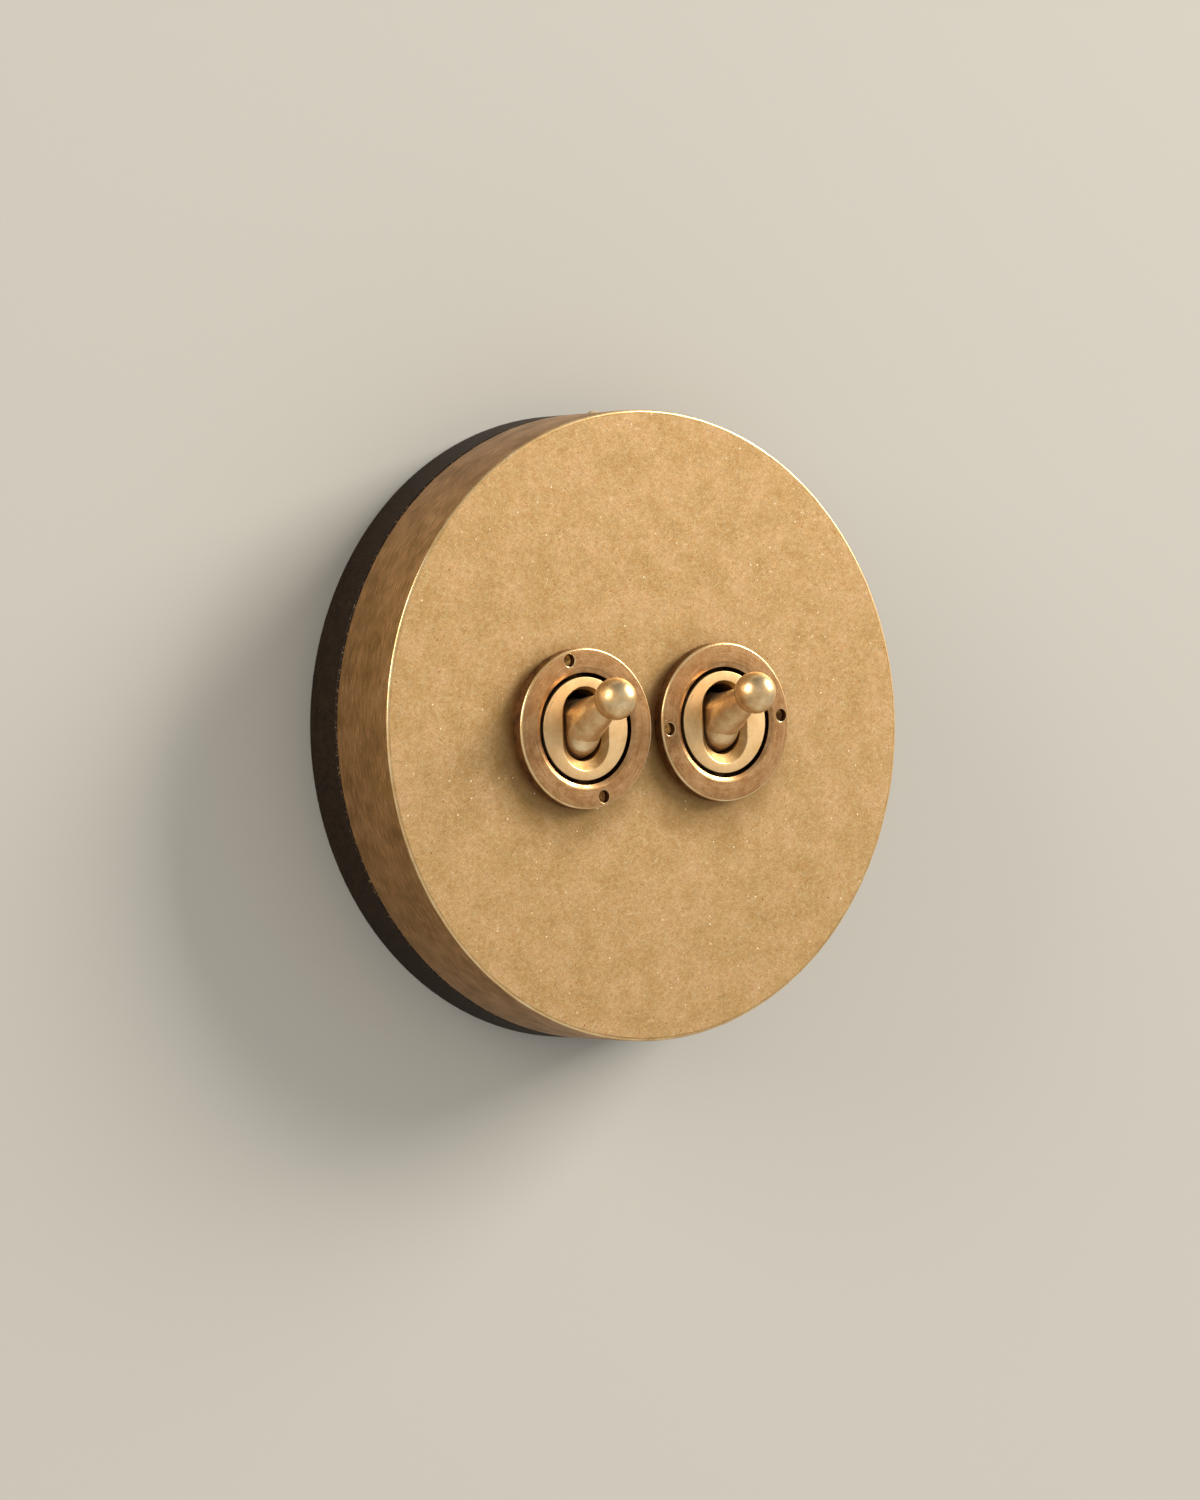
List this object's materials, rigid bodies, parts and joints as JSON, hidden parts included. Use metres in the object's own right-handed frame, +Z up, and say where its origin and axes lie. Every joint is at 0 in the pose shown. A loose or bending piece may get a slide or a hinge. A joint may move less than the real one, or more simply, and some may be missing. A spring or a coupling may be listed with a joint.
{
  "type": "dolly light switch",
  "caption": "Round brass wall switch: a turned brass cup on a black moulded base, with ball-ended dolly levers in slotted bushes held by ring nuts.",
  "frame": {"origin": "centre of the flat back face of the pattress, on the wall plane", "axes": "+Z up the wall, +X to the right seen from the room, +Y into the wall, so the levers point to -Y"},
  "size_m": [0.09, 0.0314, 0.0906],
  "materials": {
    "cover_brass": "aged, finely brushed",
    "ring_brass": "aged, turned",
    "bush_brass": "satin",
    "dolly_brass": "satin, polished by use",
    "brass_screws": "aged",
    "contact_brass": "bright rolled",
    "pattress_moulding": "near-black moulded, fine speckle",
    "housing_moulding": "dark brown phenolic moulding",
    "steel_pin": "ground",
    "plunger_steel": "turned",
    "spring_steel": "drawn wire",
    "plated_screws": "zinc plated"
  },
  "bodies": {
    "plate": {"pattress": "pattress_moulding", "cover": "cover_brass", "cover_screws": "brass_screws", "left_ring_nut": "ring_brass", "left_bush": "bush_brass", "left_pivot_pin": "steel_pin", "left_housing": "housing_moulding", "left_terminal_screws": "plated_screws", "left_flange_screws": "plated_screws", "left_upper_terminal": "contact_brass", "left_lower_terminal": "contact_brass", "left_common_terminal": "contact_brass", "right_ring_nut": "ring_brass", "right_bush": "bush_brass", "right_pivot_pin": "steel_pin", "right_housing": "housing_moulding", "right_terminal_screws": "plated_screws", "right_flange_screws": "plated_screws", "right_upper_terminal": "contact_brass", "right_lower_terminal": "contact_brass", "right_common_terminal": "contact_brass"},
    "left_lever": {"left_dolly": "dolly_brass", "left_spring": "spring_steel"},
    "left_sprung_plunger": {"left_plunger": "plunger_steel"},
    "left_see_saw": {"left_rocker": "contact_brass"},
    "right_lever": {"right_dolly": "dolly_brass", "right_spring": "spring_steel"},
    "right_sprung_plunger": {"right_plunger": "plunger_steel"},
    "right_see_saw": {"right_rocker": "contact_brass"}
  },
  "joints": [
    {"name": "left_dolly_hinge", "type": "hinge", "parent": "plate", "child": "left_lever", "pos_m": [-0.0123, -0.0182, 0], "axis": [1, 0, 0], "range_deg": [0, 44]},
    {"name": "left_plunger_slide", "type": "slide", "parent": "left_lever", "child": "left_sprung_plunger", "axis": [0, 0.9272, -0.3746], "range_m": [0, 0.0007], "stiffness_N_per_m": 300, "springref_m": 0.0012, "deforming": ["left_spring"]},
    {"name": "left_rocker_hinge", "type": "hinge", "parent": "plate", "child": "left_see_saw", "pos_m": [-0.0123, -0.0066, 0], "axis": [1, 0, 0], "range_deg": [-18, 0]},
    {"name": "right_dolly_hinge", "type": "hinge", "parent": "plate", "child": "right_lever", "pos_m": [0.0123, -0.0182, 0], "axis": [1, 0, 0], "range_deg": [0, 44]},
    {"name": "right_plunger_slide", "type": "slide", "parent": "right_lever", "child": "right_sprung_plunger", "axis": [0, 0.9272, -0.3746], "range_m": [0, 0.0007], "stiffness_N_per_m": 300, "springref_m": 0.0012, "deforming": ["right_spring"]},
    {"name": "right_rocker_hinge", "type": "hinge", "parent": "plate", "child": "right_see_saw", "pos_m": [0.0123, -0.0066, 0], "axis": [1, 0, 0], "range_deg": [-18, 0]}
  ],
  "couplings": [
    {"joint": "left_rocker_hinge", "follows": "left_dolly_hinge", "ratio": -0.40909},
    {"joint": "right_rocker_hinge", "follows": "right_dolly_hinge", "ratio": -0.40909}
  ]
}
